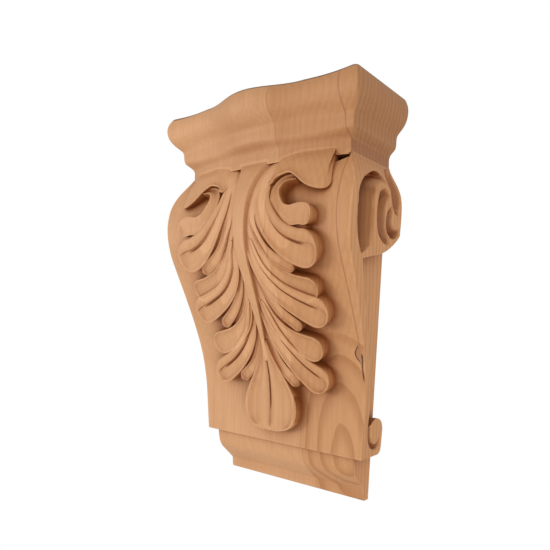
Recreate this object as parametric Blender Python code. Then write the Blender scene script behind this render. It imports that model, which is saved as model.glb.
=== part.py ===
"""Carved wooden corbel bracket: serpentine crown, scrolled body with an acanthus leaf, moulded foot.

Metres. X runs across the front, -Y is the front, +Z is up.
The origin is the centre of the flat back, which is the face fixed to the wall.
"""

import math

import bmesh
import bpy
from mathutils import Vector

# Overall heights, measured up from the underside of the foot
total_height = 0.330
neck_height = 0.2705
panel_top = 0.2748
foot_height = 0.0386
mount_height = total_height / 2

# Crown: half-width and depth at the neck, and how far the widest bead stands out from there
neck_half_width = 0.0864
neck_depth = 0.0605
crown_side_reach = 0.0173
crown_front_reach = 0.0222
crown_bow = 0.0130
neck_bow = 0.0120
crown_corner_radius = 0.0030
# Share of the height from the neck to the top, share of the full reach
crown_profile = (
    (0.0000, 0.02), (0.1731, 0.03), (0.2235, 0.10), (0.2672, 0.24), (0.3042, 0.35),
    (0.4891, 0.43), (0.5429, 0.62), (0.5899, 0.76), (0.6471, 0.88), (0.7143, 0.96),
    (0.8067, 1.00), (0.8824, 0.97), (0.9412, 0.90), (0.9832, 0.83), (1.0000, 0.77),
)

# Body: depth of the front face, and half-width of the scrolled sides, by height
front_knots = (
    (0.0386, 0.0317), (0.060, 0.0324), (0.085, 0.0338), (0.110, 0.0384), (0.135, 0.0470),
    (0.160, 0.0578), (0.183, 0.0686), (0.201, 0.0765), (0.221, 0.0800), (0.240, 0.0775),
    (0.257, 0.0705), (0.275, 0.0585), (0.281, 0.0540),
)
side_knots = (
    (0.0386, 0.0828), (0.228, 0.0985), (0.241, 0.0988), (0.248, 0.0979), (0.254, 0.0960),
    (0.259, 0.0936), (0.264, 0.0909), (0.269, 0.0884), (0.2745, 0.0862), (0.281, 0.0800),
)
panel_half_width_top = 0.0856
panel_half_width_foot = 0.0720
panel_setback = 0.0042

# Foot moulding: height, depth
foot_profile = (
    (0.0000, 0.0062), (0.0012, 0.0074), (0.0080, 0.0078), (0.0098, 0.0094), (0.0120, 0.0118),
    (0.0150, 0.0150), (0.0180, 0.0185), (0.0210, 0.0219), (0.0240, 0.0241), (0.0280, 0.0258),
    (0.0330, 0.0268), (0.0386, 0.0275),
)

# Side scroll: width of the band behind the front face, the underside of the volute, the foot curl
band_knots = (
    (0.055, 0.0092), (0.090, 0.0078), (0.125, 0.0080), (0.150, 0.0098), (0.176, 0.0126),
    (0.1915, 0.0160),
)
volute_under = (
    (-0.0430, 0.1945), (-0.0328, 0.1966), (-0.0266, 0.1984), (-0.0202, 0.2009), (-0.0108, 0.2062),
    (-0.0040, 0.2111), (0.0, 0.2150),
)
curl_centre = (-0.0118, 0.0570)
curl_radius = 0.0112

# Volute hollow: outer edge, inner crest and depth, from its lower end round to its upper end
volute_hollow = (
    (-0.0590, 0.1965, -0.0450, 0.2005, 0.0020),
    (-0.0655, 0.2065, -0.0395, 0.2095, 0.0080),
    (-0.0685, 0.2180, -0.0390, 0.2190, 0.0100),
    (-0.0692, 0.2300, -0.0400, 0.2290, 0.0105),
    (-0.0668, 0.2415, -0.0390, 0.2400, 0.0100),
    (-0.0590, 0.2500, -0.0350, 0.2470, 0.0090),
    (-0.0480, 0.2565, -0.0300, 0.2525, 0.0075),
    (-0.0370, 0.2605, -0.0250, 0.2560, 0.0050),
    (-0.0280, 0.2620, -0.0220, 0.2590, 0.0020),
)
# Its section: share of the way across, share of the depth out from the side
hollow_section = ((0.0, 1.0), (0.03, -1.0), (0.20, -0.92), (0.45, -0.55), (0.72, -0.20), (1.0, 0.35))
# The cutters keep the side's width of these heights above them, and the grooves stand off it a little
hollow_crest_height = 0.241
groove_crest_height = 0.246
groove_lift = 0.0006
# Round grooves cut in each side: y, height, radius
volute_inner_groove = (
    (-0.0165, 0.2074, 0.0012), (-0.0250, 0.2088, 0.0025), (-0.0325, 0.2140, 0.0036),
    (-0.0352, 0.2225, 0.0042), (-0.0352, 0.2320, 0.0042), (-0.0325, 0.2405, 0.0038),
    (-0.0260, 0.2460, 0.0026), (-0.0200, 0.2475, 0.0012),
)
volute_eye_groove = (
    (-0.0020, 0.2182, 0.0014), (-0.0090, 0.2144, 0.0025), (-0.0165, 0.2155, 0.0034),
    (-0.0215, 0.2215, 0.0036), (-0.0215, 0.2290, 0.0030), (-0.0180, 0.2350, 0.0016),
)
volute_rear_hollow = (
    (-0.0120, 0.2660, 0.0020), (-0.0135, 0.2580, 0.0050), (-0.0125, 0.2490, 0.0070),
    (-0.0105, 0.2400, 0.0056), (-0.0060, 0.2345, 0.0026),
)
curl_groove = (
    (-0.0225, 0.0700, 0.0020), (-0.0224, 0.0580, 0.0019), (-0.0190, 0.0495, 0.0019),
    (-0.0125, 0.0457, 0.0019), (-0.0066, 0.0470, 0.0018), (-0.0030, 0.0530, 0.0012),
)

# Acanthus leaf: relief above the front face and sink of its underside into the body
leaf_relief = 0.0108
leaf_sink = 0.0040
# Central stem: height, half-width
stem_widths = (
    (0.2725, 0.0262), (0.2650, 0.0180), (0.2560, 0.0132), (0.2440, 0.0104), (0.2280, 0.0084),
    (0.2080, 0.0070), (0.1850, 0.0060), (0.1600, 0.0044), (0.1350, 0.0027), (0.1120, 0.0012),
)
# Ground of the leaf between the fingers: height, half-width
web_widths = (
    (0.2700, 0.0240), (0.2550, 0.0260), (0.2400, 0.0290), (0.2250, 0.0360), (0.2100, 0.0450),
    (0.1980, 0.0480), (0.1890, 0.0410), (0.1780, 0.0440), (0.1640, 0.0480), (0.1520, 0.0450),
    (0.1430, 0.0370), (0.1300, 0.0370), (0.1150, 0.0340), (0.1020, 0.0270), (0.0940, 0.0160),
)
web_share = 0.50
# Fingers of one side: spine as (x, height) points, half-width at the root and near the tip,
# share of the relief at the root and at the tip, depth of the middle cut, roundness of the tip
leaf_fingers = (
    (((0.0340, 0.2600), (0.0560, 0.2588), (0.0805, 0.2560)), 0.0110, 0.0145, 0.72, 0.42, 0.0, 0.4),
    (((0.0500, 0.2590), (0.0295, 0.2510), (0.0272, 0.2350), (0.0350, 0.2225), (0.0475, 0.2195),
      (0.0625, 0.2220)), 0.0060, 0.0078, 0.84, 0.94, 0.0025, 1.0),
    (((0.0215, 0.2560), (0.0240, 0.2310), (0.0395, 0.2105), (0.0555, 0.2020), (0.0710, 0.1985)),
     0.0035, 0.0120, 0.68, 1.0, 0.0030, 1.0),
    (((0.0100, 0.2350), (0.0150, 0.2170), (0.0265, 0.2000), (0.0475, 0.1865)),
     0.0025, 0.0042, 0.58, 0.88, 0.0010, 1.0),
    (((0.0085, 0.2200), (0.0160, 0.2030), (0.0270, 0.1885), (0.0440, 0.1770), (0.0650, 0.1690)),
     0.0030, 0.0078, 0.64, 0.93, 0.0015, 1.0),
    (((0.0075, 0.2080), (0.0155, 0.1860), (0.0290, 0.1705), (0.0500, 0.1585), (0.0690, 0.1510)),
     0.0035, 0.0118, 0.70, 1.0, 0.0030, 1.0),
    (((0.0065, 0.1960), (0.0130, 0.1720), (0.0250, 0.1550), (0.0420, 0.1415)),
     0.0025, 0.0044, 0.57, 0.87, 0.0010, 1.0),
    (((0.0050, 0.1750), (0.0130, 0.1500), (0.0290, 0.1350), (0.0575, 0.1235)),
     0.0028, 0.0090, 0.63, 0.94, 0.0015, 1.0),
    (((0.0045, 0.1620), (0.0150, 0.1330), (0.0340, 0.1105), (0.0585, 0.0935)),
     0.0030, 0.0115, 0.69, 1.0, 0.0030, 1.0),
    (((0.0030, 0.1500), (0.0070, 0.1250), (0.0150, 0.1075), (0.0305, 0.0930)),
     0.0025, 0.0050, 0.56, 0.86, 0.0010, 1.0),
)
# Lowest lobe: height, half-width
drop_widths = (
    (0.1300, 0.0030), (0.1150, 0.0075), (0.1020, 0.0145), (0.0920, 0.0205), (0.0820, 0.0255),
    (0.0720, 0.0276), (0.0630, 0.0262), (0.0565, 0.0215), (0.0525, 0.0145), (0.0505, 0.0060),
)
drop_cut = 0.0030

wall_overrun = 0.006


def curve_value(knots, at):
    """Smooth value between (position, value) knots, with slopes taken from the neighbours."""
    count = len(knots)
    for i in range(count - 1):
        if at <= knots[i + 1][0] or i == count - 2:
            break
    x0, y0 = knots[i]
    x1, y1 = knots[i + 1]
    before = knots[max(i - 1, 0)]
    after = knots[min(i + 2, count - 1)]
    slope0 = (y1 - before[1]) / (x1 - before[0])
    slope1 = (after[1] - y0) / (after[0] - x0)
    step = x1 - x0
    t = min(max((at - x0) / step, 0.0), 1.0)
    return (
        (2 * t**3 - 3 * t**2 + 1) * y0
        + (t**3 - 2 * t**2 + t) * step * slope0
        + (3 * t**2 - 2 * t**3) * y1
        + (t**3 - t**2) * step * slope1
    )


def line_value(knots, at):
    """Value on the straight lines between (position, value) knots."""
    for (x0, y0), (x1, y1) in zip(knots, knots[1:]):
        if at <= x1:
            break
    return y0 + (y1 - y0) * (at - x0) / (x1 - x0)


def path_at(points, distances):
    """Points of a smooth line through coordinate tuples, at distances along it."""
    marks = [0.0]
    for a, b in zip(points, points[1:]):
        marks.append(marks[-1] + math.dist(a[:2], b[:2]))
    lines = [list(zip(marks, values)) for values in zip(*points)]
    return [tuple(curve_value(line, spot) for line in lines) for spot in distances]


def path_length(points):
    return sum(math.dist(a[:2], b[:2]) for a, b in zip(points, points[1:]))


def path_points(points, count):
    """Evenly spread points along a smooth line."""
    length = path_length(points)
    return path_at(points, [length * i / (count - 1) for i in range(count)])


def front_depth(z):
    return curve_value(front_knots, z)


def side_width(z):
    return line_value(side_knots, z)


def panel_width(z):
    share = z / panel_top
    return panel_half_width_foot + (panel_half_width_top - panel_half_width_foot) * share


def front_normal(z):
    """Outward direction of the front face, as (y, z)."""
    lean = (front_depth(z + 0.001) - front_depth(z - 0.001)) / 0.002
    length = math.hypot(1.0, lean)
    return -1.0 / length, -lean / length


def on_front(x, z, height):
    """Point that stands height above the front face."""
    ny, nz = front_normal(z)
    return Vector((x, -front_depth(z) + ny * height, z + nz * height))


def make_object(name, bm, group):
    bmesh.ops.triangulate(bm, faces=bm.faces[:], quad_method="SHORT_EDGE")
    bmesh.ops.recalc_face_normals(bm, faces=bm.faces[:])
    mesh = bpy.data.meshes.new(name)
    bm.to_mesh(mesh)
    bm.free()
    made = bpy.data.objects.new(name, mesh)
    group.objects.link(made)
    return made


def loft(name, rings, group):
    """Closed body through rings that all have the same number of points."""
    bm = bmesh.new()
    loops = [[bm.verts.new(point) for point in ring] for ring in rings]
    count = len(loops[0])
    for lower, upper in zip(loops, loops[1:]):
        for i in range(count):
            k = (i + 1) % count
            bm.faces.new((lower[i], lower[k], upper[k], upper[i]))
    bm.faces.new(loops[0])
    bm.faces.new(loops[-1])
    return make_object(name, bm, group)


def side_prism(name, outline, width_at, bends, group):
    """Body with a (y, z) outline, reaching out to width_at(z) on both sides."""
    bm = bmesh.new()
    face = bm.faces.new([bm.verts.new((-1.0, y, z)) for y, z in outline])
    moved = bmesh.ops.extrude_face_region(bm, geom=[face])["geom"]
    corners = [item for item in moved if isinstance(item, bmesh.types.BMVert)]
    bmesh.ops.translate(bm, verts=corners, vec=(2.0, 0.0, 0.0))
    for bend in bends:
        geometry = bm.verts[:] + bm.edges[:] + bm.faces[:]
        bmesh.ops.bisect_plane(bm, geom=geometry, dist=1e-6, plane_co=(0, 0, bend), plane_no=(0, 0, 1))
    for vert in bm.verts:
        vert.co.x *= width_at(vert.co.z)
    return make_object(name, bm, group)


def boolean(target, tools, operation):
    """Cut a collection of solids from the target, or join them to it, in one step."""
    modifier = target.modifiers.new(tools.name, "BOOLEAN")
    modifier.operation = operation
    modifier.solver = "EXACT"
    modifier.operand_type = "COLLECTION"
    modifier.collection = tools
    depsgraph = bpy.context.evaluated_depsgraph_get()
    result = bpy.data.meshes.new_from_object(target.evaluated_get(depsgraph))
    target.modifiers.clear()
    old = target.data
    target.data = result
    bpy.data.meshes.remove(old)


def crown_wave(share):
    """Forward bow of the crown's front edge, from 1 in the middle to 0 at the corners."""
    share = abs(share)
    if share < 0.55:
        return (1 + math.cos(math.pi * share / 0.55)) / 2
    return -0.14 * math.sin(math.pi * (share - 0.55) / 0.45)


def crown_ring(z, reach):
    half_width = neck_half_width + crown_side_reach * reach
    depth = neck_depth + crown_front_reach * reach
    blend = min(reach / 0.4, 1.0)
    bow = neck_bow + (crown_bow - neck_bow) * blend
    radius = crown_corner_radius
    ring = [Vector((half_width, wall_overrun + 0.004, z))]
    for turn in (0, 45, 90):
        angle = math.radians(turn)
        x = half_width - radius + radius * math.cos(angle)
        y = -depth + radius - radius * math.sin(angle)
        ring.append(Vector((x, y, z)))
    steps = 30
    for i in range(1, steps):
        share = 1 - 2 * i / steps
        plain = 1 - abs(share) ** 2.2
        wave = plain + (crown_wave(share) - plain) * blend
        ring.append(Vector(((half_width - radius) * share, -depth - bow * wave, z)))
    for point in reversed(ring[:4]):
        ring.append(Vector((-point.x, point.y, z)))
    return ring


def build_crown(group):
    crown_height = total_height - neck_height
    rings = [crown_ring(neck_height + crown_height * rise, reach) for rise, reach in crown_profile]
    return loft("crown", rings, group)


def heights_between(low, high, count):
    return [low + (high - low) * i / (count - 1) for i in range(count)]


def build_core(group):
    """Panelled block that runs from the foot moulding up into the crown."""
    top = neck_height + 0.010
    outline = [(-depth, z) for z, depth in foot_profile]
    for z in heights_between(foot_height, neck_height, 12):
        outline.append((-front_depth(z) + panel_setback, z + 0.0001))
    outline.append((-front_depth(neck_height) + panel_setback, top))
    outline.append((wall_overrun, top))
    outline.append((wall_overrun, 0.0))
    return side_prism("core", outline, panel_width, [], group)


def build_scroll(group):
    """Full-width layer: front face, the band behind it, the volute and the curl at the foot."""
    top = neck_height + 0.008
    back = wall_overrun + 0.002
    outline = [(-front_depth(z), z) for z in heights_between(foot_height, top, 27)]
    outline.append((back, top))
    outline.append((back, volute_under[-1][1] + 0.001))
    outline += list(reversed(volute_under))
    for z in reversed(heights_between(0.072, 0.1915, 12)):
        outline.append((-front_depth(z) + curve_value(band_knots, z), z))
    cy, cz = curl_centre
    for turn in range(150, -1, -25):
        angle = math.radians(turn)
        outline.append((cy + curl_radius * math.cos(angle), cz + curl_radius * math.sin(angle)))
    outline.append((cy + curl_radius, foot_height + 0.006))
    outline.append((cy + curl_radius - 0.004, foot_height))
    bends = [z for z, width in side_knots[1:-1]]
    return side_prism("scroll", outline, side_width, bends, group)


def hollow_cutter(name, side, group):
    """Crescent cut between the band's inner edge and the crest of the first turn."""
    rings = []
    for row in path_points(volute_hollow, 14):
        ey, ez, cy, cz, depth = row
        ring = []
        for share, rise in hollow_section:
            y = ey + (cy - ey) * share
            z = ez + (cz - ez) * share
            base = side_width(min(z, hollow_crest_height))
            ring.append(Vector((side * (base + rise * depth), y, z)))
        rings.append(ring)
    return loft(name, rings, group)


def groove_cutter(name, line, side, count, group):
    """Round groove of varying radius along a (y, z, radius) line in one side."""
    rings = []
    rows = path_points(line, count)
    for i, (y, z, radius) in enumerate(rows):
        before = rows[max(i - 1, 0)]
        after = rows[min(i + 1, count - 1)]
        length = math.dist(before[:2], after[:2])
        ay = -(after[1] - before[1]) / length
        az = (after[0] - before[0]) / length
        middle = side * (side_width(min(z, groove_crest_height)) + groove_lift)
        ring = []
        for k in range(8):
            angle = 2 * math.pi * k / 8
            out = radius * math.cos(angle)
            up = radius * math.sin(angle) * 1.5
            ring.append(Vector((middle + up, y + ay * out, z + az * out)))
        rings.append(ring)
    return loft(name, rings, group)


def gouged_ring(x, z, ax, az, width, height, groove):
    """Section of a leaf finger: steep sides, two ridges and a cut along the middle."""
    ring = []
    for across, level in (
        (-0.96, -leaf_sink), (-1.0, height - 0.0014), (-0.74, height), (0.0, height - groove),
        (0.74, height), (1.0, height - 0.0014), (0.96, -leaf_sink),
    ):
        ring.append(on_front(-x - ax * across * width, z + az * across * width, level))
    return ring


def finger_rings(spine, root, tip, root_share, tip_share, cut, roundness):
    """Rings of one leaf finger, widening from the root and closing round at the tip."""
    length = path_length(spine)
    reach = tip * roundness
    straight = 2 + len(spine)
    spots = [((length - reach) * i / straight, 1.0) for i in range(straight + 1)]
    for turn in (28, 52, 72, 86):
        angle = math.radians(turn)
        spots.append((length - reach * (1 - math.sin(angle)), math.cos(angle)))
    rings = []
    for distance, narrowing in spots:
        x, z = path_at(spine, [distance])[0]
        before, after = path_at(spine, [max(distance - 0.001, 0.0), min(distance + 0.001, length)])
        run = math.dist(before, after)
        ax = -(after[1] - before[1]) / run
        az = (after[0] - before[0]) / run
        share = min(distance / (length - reach), 1.0)
        width = (root + (tip - root) * share**1.4) * narrowing
        rise = root_share + (tip_share - root_share) * math.sin(math.pi * share / 2)
        groove = cut * min((length - distance) / (2 * tip), 1.0)
        rings.append(gouged_ring(x, z, ax, az, width, leaf_relief * rise, groove))
    return rings


def strip_rings(widths, share, edge_drop):
    """Rings across the middle, from a table of heights and half-widths."""
    height = leaf_relief * share
    rings = []
    for z, width in widths:
        ring = []
        for across, level in (
            (-1.0, -leaf_sink), (-1.0, height - edge_drop), (-0.55, height - 0.0002), (0.0, height),
            (0.55, height - 0.0002), (1.0, height - edge_drop), (1.0, -leaf_sink),
        ):
            ring.append(on_front(width * across, z, level))
        rings.append(ring)
    return rings


def mirrored(piece, name, group):
    """The same body on the other side of the middle."""
    bm = bmesh.new()
    bm.from_mesh(piece.data)
    bmesh.ops.scale(bm, verts=bm.verts[:], vec=(-1, 1, 1))
    bmesh.ops.recalc_face_normals(bm, faces=bm.faces[:])
    return make_object(name, bm, group)


def build_leaf(group):
    for number, sizes in enumerate(leaf_fingers):
        left = loft(f"finger_{number}_left", finger_rings(*sizes), group)
        mirrored(left, f"finger_{number}_right", group)
    drop = []
    for z, width in drop_widths:
        groove = drop_cut * min((z - drop_widths[-1][0]) / 0.020, 1.0)
        drop.append(gouged_ring(0.0, z, 1.0, 0.0, width, leaf_relief * 0.97, groove))
    loft("drop", drop, group)
    loft("stem", strip_rings(stem_widths, 0.98, 0.0022), group)
    loft("web", strip_rings(web_widths, web_share, 0.0020), group)


def wood_material():
    material = bpy.data.materials.new("cherry_wood")
    material.use_nodes = True
    shader = material.node_tree.nodes["Principled BSDF"]
    shader.inputs["Base Color"].default_value = (0.60, 0.36, 0.22, 1.0)
    shader.inputs["Roughness"].default_value = 0.55
    return material


def finish(corbel):
    """Cut the back flat at the wall, put the origin on it and tidy the mesh."""
    bm = bmesh.new()
    bm.from_mesh(corbel.data)
    bmesh.ops.remove_doubles(bm, verts=bm.verts[:], dist=0.00001)
    bmesh.ops.dissolve_degenerate(bm, dist=0.00001, edges=bm.edges[:])
    geometry = bm.verts[:] + bm.edges[:] + bm.faces[:]
    cut = bmesh.ops.bisect_plane(
        bm, geom=geometry, dist=1e-5, plane_co=(0, 0, 0), plane_no=(0, 1, 0), clear_outer=True
    )
    rim = [item for item in cut["geom_cut"] if isinstance(item, bmesh.types.BMEdge)]
    bmesh.ops.edgeloop_fill(bm, edges=rim)
    bmesh.ops.translate(bm, verts=bm.verts[:], vec=(0, 0, -mount_height))
    bmesh.ops.triangulate(bm, faces=bm.faces[:])
    bmesh.ops.recalc_face_normals(bm, faces=bm.faces[:])
    bm.to_mesh(corbel.data)
    bm.free()
    corbel.data.materials.clear()
    corbel.data.materials.append(wood_material())


def clear_scene():
    for item in list(bpy.data.objects):
        bpy.data.objects.remove(item)


def main():
    clear_scene()
    scene_collection = bpy.context.scene.collection
    parts = bpy.data.collections.new("corbel_bracket")
    cutters = bpy.data.collections.new("volute_cutters")
    solids = bpy.data.collections.new("corbel_solids")
    for group in (parts, cutters, solids):
        scene_collection.children.link(group)

    for side in (1, -1):
        end = "right" if side > 0 else "left"
        hollow_cutter(f"hollow_{end}", side, cutters)
        groove_cutter(f"inner_groove_{end}", volute_inner_groove, side, 12, cutters)
        groove_cutter(f"eye_groove_{end}", volute_eye_groove, side, 9, cutters)
        groove_cutter(f"rear_hollow_{end}", volute_rear_hollow, side, 7, cutters)
        groove_cutter(f"curl_groove_{end}", curl_groove, side, 9, cutters)
    scroll = build_scroll(solids)
    boolean(scroll, cutters, "DIFFERENCE")
    build_crown(solids)
    build_leaf(solids)

    corbel = build_core(parts)
    corbel.name = "corbel"
    boolean(corbel, solids, "UNION")
    finish(corbel)
    for tool in list(cutters.objects) + list(solids.objects):
        tool.hide_render = True
        tool.display_type = "WIRE"
    print("triangles", len(corbel.data.polygons))


main()
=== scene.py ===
import math

import bmesh
import bpy
from mathutils import Matrix, Vector, kdtree


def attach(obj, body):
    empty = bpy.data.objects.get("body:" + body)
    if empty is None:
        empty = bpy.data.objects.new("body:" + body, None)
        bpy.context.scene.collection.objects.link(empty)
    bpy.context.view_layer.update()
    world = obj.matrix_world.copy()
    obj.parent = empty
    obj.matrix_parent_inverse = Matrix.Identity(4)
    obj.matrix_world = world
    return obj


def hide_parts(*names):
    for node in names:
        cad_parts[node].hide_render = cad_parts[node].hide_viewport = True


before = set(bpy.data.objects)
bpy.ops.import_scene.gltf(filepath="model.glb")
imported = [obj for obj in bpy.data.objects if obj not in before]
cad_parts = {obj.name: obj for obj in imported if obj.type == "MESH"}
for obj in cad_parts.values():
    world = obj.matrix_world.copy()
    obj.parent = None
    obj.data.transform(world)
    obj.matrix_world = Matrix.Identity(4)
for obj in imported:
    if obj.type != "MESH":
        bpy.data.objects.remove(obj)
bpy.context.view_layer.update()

# heights are measured up from the underside of the foot, metres
body = {
    "middle": 0.165,
    "footTop": 0.0386,
    "neck": 0.2705,
    "top": 0.330,
    "panelTop": 0.2748,
    "panelFootWidth": 0.0720,
    "panelTopWidth": 0.0856,
    "panelSetback": 0.0042,
    "coreOverlap": 0.010,
    "footRows": 44,
    "panelRows": 60,
    "panelStart": 0.0001,
}
frontKnots = [  # height, depth of the front
    (0.0386, 0.0317), (0.060, 0.0324), (0.085, 0.0338), (0.110, 0.0384), (0.135, 0.0470),
    (0.160, 0.0578), (0.183, 0.0686), (0.201, 0.0765), (0.221, 0.0800), (0.240, 0.0775),
    (0.257, 0.0705), (0.275, 0.0585), (0.281, 0.0540),
]
sideKnots = [  # height, half-width over the scrolls
    (0.0386, 0.0828), (0.120, 0.0895), (0.190, 0.0953), (0.228, 0.0985), (0.241, 0.0988),
    (0.248, 0.0979), (0.254, 0.0960), (0.259, 0.0936), (0.264, 0.0909), (0.269, 0.0884),
    (0.2745, 0.0862), (0.281, 0.0800),
]
footKnots = [  # height, depth of the foot moulding
    (0.0000, 0.0062), (0.0012, 0.0074), (0.0080, 0.0079), (0.0090, 0.0083), (0.0105, 0.0100),
    (0.0130, 0.0126), (0.0155, 0.0155), (0.0185, 0.0189), (0.0220, 0.0225), (0.0260, 0.0250),
    (0.0310, 0.0265), (0.0386, 0.0276),
]


def smoothValue(knots, at):
    count = len(knots)
    for i in range(count - 1):
        if at <= knots[i + 1][0] or i == count - 2:
            break
    x0, y0 = knots[i]
    x1, y1 = knots[i + 1]
    before = knots[max(i - 1, 0)]
    after = knots[min(i + 2, count - 1)]
    slope0 = (y1 - before[1]) / (x1 - before[0])
    slope1 = (after[1] - y0) / (after[0] - x0)
    step = x1 - x0
    t = min(max((at - x0) / step, 0.0), 1.0)
    return (
        (2 * t**3 - 3 * t**2 + 1) * y0
        + (t**3 - 2 * t**2 + t) * step * slope0
        + (3 * t**2 - 2 * t**3) * y1
        + (t**3 - t**2) * step * slope1
    )


def pathAt(points, distance):
    marks = [0.0]
    for a, b in zip(points, points[1:]):
        marks.append(marks[-1] + math.dist(a[:2], b[:2]))
    return tuple(smoothValue(list(zip(marks, values)), distance) for values in zip(*points))


def pathLength(points):
    return sum(math.dist(a[:2], b[:2]) for a, b in zip(points, points[1:]))


def pathPoints(points, count):
    length = pathLength(points)
    return [pathAt(points, length * i / (count - 1)) for i in range(count)]


def spread(low, high, count):
    return [low + (high - low) * i / (count - 1) for i in range(count)]


def clamp(value, low=0.0, high=1.0):
    return min(max(value, low), high)


def smooth(value):
    value = clamp(value)
    return value * value * (3 - 2 * value)


def frontDepth(z):
    return smoothValue(frontKnots, z)


def sideWidth(z):
    return smoothValue(sideKnots, z)


def panelWidth(z):
    share = z / body["panelTop"]
    return body["panelFootWidth"] + (body["panelTopWidth"] - body["panelFootWidth"]) * share


def onFront(x, z, height):
    lean = (frontDepth(z + 0.001) - frontDepth(z - 0.001)) / 0.002
    length = math.hypot(1.0, lean)
    return Vector((x, -frontDepth(z) - height / length, z - height * lean / length))


def sheet(bm, rings):  # closed tube through equal rings, laid on a grid
    columns = len(rings[0])
    rows = len(rings) - 1
    made = bmesh.ops.create_grid(bm, x_segments=columns, y_segments=rows, size=0.5)["verts"]
    for vert in made:
        column = round((vert.co.x + 0.5) * columns) % columns
        row = round((vert.co.y + 0.5) * rows)
        vert.co = rings[row][column]
    bmesh.ops.remove_doubles(bm, verts=made, dist=1e-7)
    made = [vert for vert in made if vert.is_valid]
    rims = {edge for vert in made for edge in vert.link_edges if edge.is_boundary}
    bmesh.ops.holes_fill(bm, edges=list(rims), sides=0)


def prism(bm, outline, widthAt):  # (y, z) outline pulled out to both sides
    face = bm.faces.new([bm.verts.new((-1.0, y, z)) for y, z in outline])
    moved = bmesh.ops.extrude_face_region(bm, geom=[face])["geom"]
    corners = [item for item in moved if isinstance(item, bmesh.types.BMVert)]
    bmesh.ops.translate(bm, verts=corners, vec=(2.0, 0.0, 0.0))
    for vert in bm.verts:
        vert.co.x *= widthAt(vert.co.z)


def addMirror(bm):  # the same again on the left
    made = bmesh.ops.duplicate(bm, geom=bm.verts[:] + bm.edges[:] + bm.faces[:])["geom"]
    verts = [item for item in made if isinstance(item, bmesh.types.BMVert)]
    bmesh.ops.scale(bm, verts=verts, vec=(-1, 1, 1))


def newObject(name, bm):
    bmesh.ops.recalc_face_normals(bm, faces=bm.faces[:])
    mesh = bpy.data.meshes.new(name)
    bm.to_mesh(mesh)
    bm.free()
    made = bpy.data.objects.new(name, mesh)
    bpy.context.scene.collection.objects.link(made)
    return made


def applyBoolean(target, tool, operation):
    modifier = target.modifiers.new("join", "BOOLEAN")
    modifier.operation = operation
    modifier.solver = "EXACT"
    modifier.object = tool
    depsgraph = bpy.context.evaluated_depsgraph_get()
    result = bpy.data.meshes.new_from_object(target.evaluated_get(depsgraph))
    target.modifiers.clear()
    target.data = result
    bpy.data.objects.remove(tool)


# crown
crown = {
    "neckWidth": 0.0864, "neckDepth": 0.0605, "sideReach": 0.01728, "frontReach": 0.02218,
    "bow": 0.0130, "neckBow": 0.0120, "corner": 0.0032, "cornerSteps": 8, "frontSteps": 150,
    "rings": 74, "waveEnd": 0.55, "dip": 0.14, "neckCurve": 2.2, "fullWave": 0.8,
}
crownKnots = [  # height, share of the reach
    (0.2705, 0.02), (0.2760, 0.02), (0.2808, 0.03), (0.2838, 0.10), (0.2864, 0.24), (0.2886, 0.35),
    (0.2925, 0.395), (0.2965, 0.41), (0.2996, 0.46), (0.3028, 0.62), (0.3056, 0.76), (0.3090, 0.88),
    (0.3130, 0.96), (0.3185, 1.00), (0.3230, 0.97), (0.3265, 0.90), (0.3290, 0.83), (0.3300, 0.77),
]


def crownWave(share):  # plan of the front: swell in the middle, slight dip towards each end
    share = abs(share)
    end = crown["waveEnd"]
    if share < end:
        return (1 + math.cos(math.pi * share / end)) / 2
    return -crown["dip"] * math.sin(math.pi * (share - end) / (1 - end))


def crownRing(z):
    reach = smoothValue(crownKnots, z)
    halfWidth = crown["neckWidth"] + crown["sideReach"] * reach
    depth = crown["neckDepth"] + crown["frontReach"] * reach
    blend = smooth(reach / crown["fullWave"])
    bow = crown["neckBow"] + (crown["bow"] - crown["neckBow"]) * blend
    radius = crown["corner"]
    half = [Vector((halfWidth, 0.0, z)), Vector((halfWidth, -depth * 0.5, z))]
    for i in range(crown["cornerSteps"] + 1):
        angle = math.pi / 2 * i / crown["cornerSteps"]
        x = halfWidth - radius + radius * math.cos(angle)
        half.append(Vector((x, -depth + radius - radius * math.sin(angle), z)))
    ring = list(half)
    for i in range(1, crown["frontSteps"]):
        share = 1 - 2 * i / crown["frontSteps"]
        plain = 1 - abs(share) ** crown["neckCurve"]
        wave = plain + (crownWave(share) - plain) * blend
        ring.append(Vector(((halfWidth - radius) * share, -depth - bow * wave, z)))
    ring += [Vector((-point.x, point.y, z)) for point in reversed(half)]
    return ring


def buildCrown():
    bm = bmesh.new()
    sheet(bm, [crownRing(z) for z in spread(body["neck"], body["top"], crown["rings"])])
    return newObject("crown", bm)


# side scrolls
bandKnots = [  # height, thickness of the band behind the front
    (0.055, 0.0092), (0.090, 0.0078), (0.125, 0.0080), (0.150, 0.0098), (0.176, 0.0126),
    (0.1915, 0.0160),
]
voluteUnder = [  # y, height
    (-0.0430, 0.1945), (-0.0328, 0.1966), (-0.0266, 0.1984), (-0.0202, 0.2009), (-0.0108, 0.2062),
    (-0.0040, 0.2111), (0.0, 0.2150),
]
curl = {
    "y": -0.0118, "z": 0.0570, "radius": 0.0112, "turn": 150, "steps": 25,
    "foot": ((0.0, 0.006), (0.001, 0.002), (0.004, 0.0)),
}
slab = {
    "ySteps": [(-0.092, 0.004), (-0.072, 0.0007), (0.002, 0.001)],
    "zSteps": [(0.036, 0.0007), (0.079, 0.004), (0.188, 0.0007), (0.274, 0.003), (0.286, 0.003)],
    "halfWidth": 0.12, "overlap": 0.008, "bandTop": 0.1915, "bandFoot": 0.070,
    "frontRows": 100, "underRows": 20, "bandRows": 50, "wallStep": 0.0004, "smoothings": 2,
    "grooveRows": 160, "hollowRows": 200, "grooveRound": 0.75, "crestReach": 1.02,
}
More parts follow.
